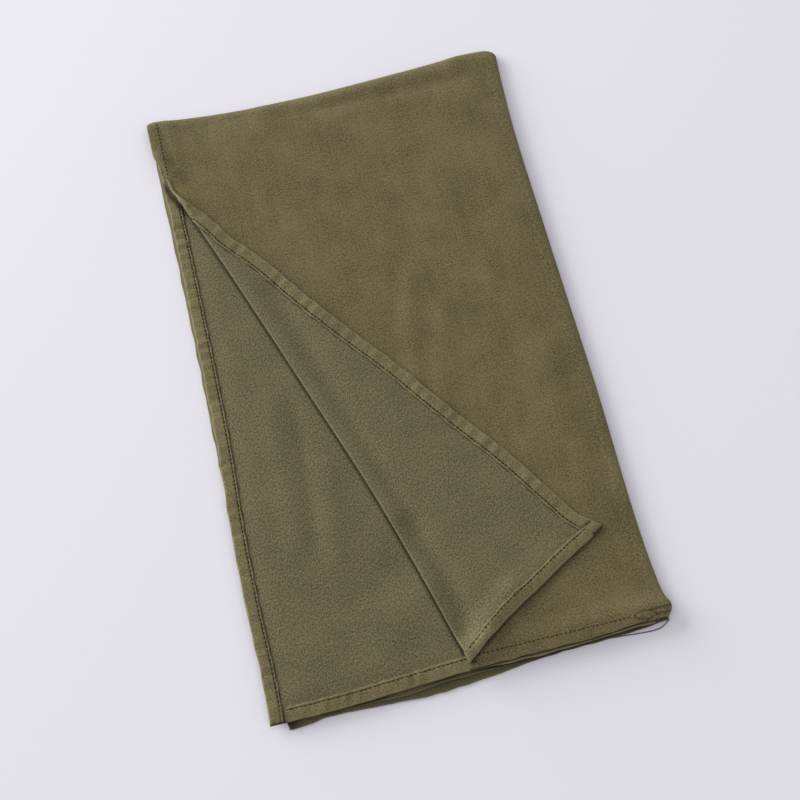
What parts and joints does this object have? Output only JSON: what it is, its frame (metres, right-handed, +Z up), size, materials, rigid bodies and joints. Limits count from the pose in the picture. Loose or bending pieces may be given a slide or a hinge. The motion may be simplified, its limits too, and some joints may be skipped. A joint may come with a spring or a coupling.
{
  "type": "hijab headscarf, folded flat",
  "caption": "Rectangular woven headscarf folded flat into a long rectangle, one corner of its top pair turned back over the top face, with narrow stitched hems.",
  "frame": {"origin": "on the surface that the scarf rests on, under the middle of the folded scarf's bounding box", "axes": "+Z up from that surface, +Y along the folded length towards the far fold, +X across the folded width towards the lengthwise fold"},
  "size_m": [0.3544, 0.6002, 0.016],
  "materials": {
    "right_side": "olive plain-woven cloth, right side, matt with faint lengthwise streaks",
    "wrong_side": "olive plain-woven cloth, wrong side, a little greyer and grainier, matt",
    "hem_cloth": "olive cloth turned twice and stitched, matt",
    "layer_cloth": "edges of the folded layers, olive, matt",
    "thread": "dark olive sewing thread, matt"
  },
  "bodies": {
    "root": {"folded_core": "layer_cloth", "second_face": "wrong_side", "second_long_hem": "hem_cloth", "second_end_hem": "hem_cloth", "top_face_end_hem": "hem_cloth", "top_face_side_hem": "hem_cloth", "top_face": "right_side", "turned_corner": "wrong_side", "corner_long_hem": "hem_cloth", "corner_end_hem": "hem_cloth"}
  },
  "joints": []
}
